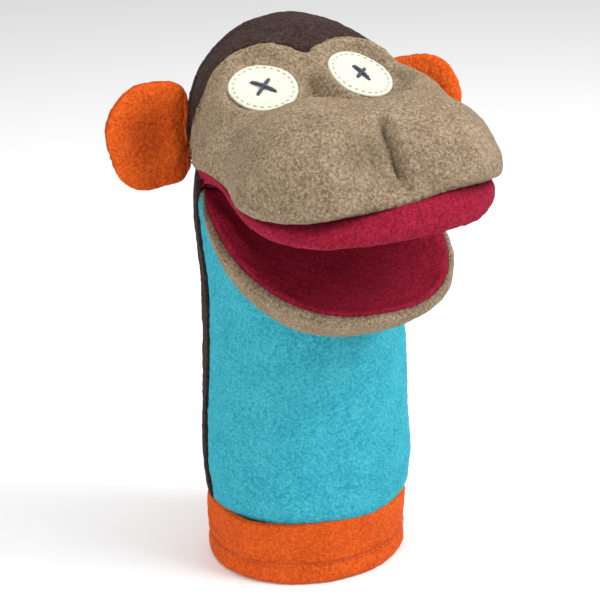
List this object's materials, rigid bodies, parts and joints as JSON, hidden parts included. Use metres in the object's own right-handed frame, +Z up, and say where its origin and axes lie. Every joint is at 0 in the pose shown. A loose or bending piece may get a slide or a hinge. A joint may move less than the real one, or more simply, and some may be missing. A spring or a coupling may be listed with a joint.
{
  "type": "hand puppet",
  "caption": "Moving mouth hand puppet: a sleeve with a cuff under a padded monkey head that opens at a folded mouth line; the upper head and the lower jaw turn on it.",
  "frame": {"origin": "centre of the cuff's lower edge, on the surface the puppet stands on", "axes": "+Z up, the face looks along -Y, the puppet's own left side is +X"},
  "size_m": [0.187, 0.1735, 0.274],
  "materials": {
    "fleece_orange": "matte napped fleece",
    "fleece_turquoise": "matte napped fleece",
    "fleece_brown": "matte napped fleece",
    "fleece_tan": "matte napped fleece",
    "fleece_crimson": "matte napped fleece",
    "felt_cream": "matte felt",
    "yarn_navy": "matte twisted yarn",
    "thread_cream": "matte",
    "thread_orange": "matte",
    "thread_brown": "matte",
    "stiffener": "matte",
    "lining_cloth": "matte woven cloth",
    "wadding": "matte fibre"
  },
  "bodies": {
    "sleeve": {"cuff_band": "fleece_orange", "cuff_hem_stitches": "thread_orange", "side_seam_stitches": "thread_brown", "mouth_fold": "fleece_crimson", "sleeve_front": "fleece_turquoise", "sleeve_back": "fleece_brown", "nape_fold": "fleece_brown", "throat_fold": "fleece_turquoise"},
    "upper_head": {"face_panel": "fleece_tan", "crown_front": "fleece_brown", "back_of_head": "fleece_brown", "upper_mouth_lining": "fleece_crimson", "upper_mouth_board": "stiffener", "finger_pocket": "lining_cloth", "head_filling": "wadding", "right_eye_patch": "felt_cream", "right_eye_cross_stitch": "yarn_navy", "right_eye_edge_stitches": "thread_cream", "left_eye_patch": "felt_cream", "left_eye_cross_stitch": "yarn_navy", "left_eye_edge_stitches": "thread_cream", "right_ear_root": "fleece_orange", "left_ear_root": "fleece_orange"},
    "lower_jaw": {"lower_mouth_lining": "fleece_crimson", "lower_mouth_board": "stiffener", "chin_panel": "fleece_tan", "thumb_loop": "lining_cloth"},
    "right_ear": {"right_ear_front": "fleece_orange", "right_ear_back": "fleece_orange", "right_ear_filling": "wadding"},
    "left_ear": {"left_ear_front": "fleece_orange", "left_ear_back": "fleece_orange", "left_ear_filling": "wadding"}
  },
  "joints": [
    {"name": "head_lift", "type": "hinge", "parent": "sleeve", "child": "upper_head", "pos_m": [0, 0.005, 0.198], "axis": [-1, 0, 0], "range_deg": [-3, 18], "deforming": ["nape_fold"]},
    {"name": "jaw_open", "type": "hinge", "parent": "sleeve", "child": "lower_jaw", "pos_m": [0, 0.005, 0.198], "axis": [1, 0, 0], "range_deg": [-15, 12], "deforming": ["throat_fold"]},
    {"name": "right_ear_flop", "type": "hinge", "parent": "upper_head", "child": "right_ear", "pos_m": [-0.052, 0.014, 0.223], "axis": [0, 0, 1], "range_deg": [-18, 18], "stiffness_Nm_per_rad": 0.01},
    {"name": "left_ear_flop", "type": "hinge", "parent": "upper_head", "child": "left_ear", "pos_m": [0.052, 0.014, 0.223], "axis": [0, 0, -1], "range_deg": [-18, 18], "stiffness_Nm_per_rad": 0.01}
  ]
}
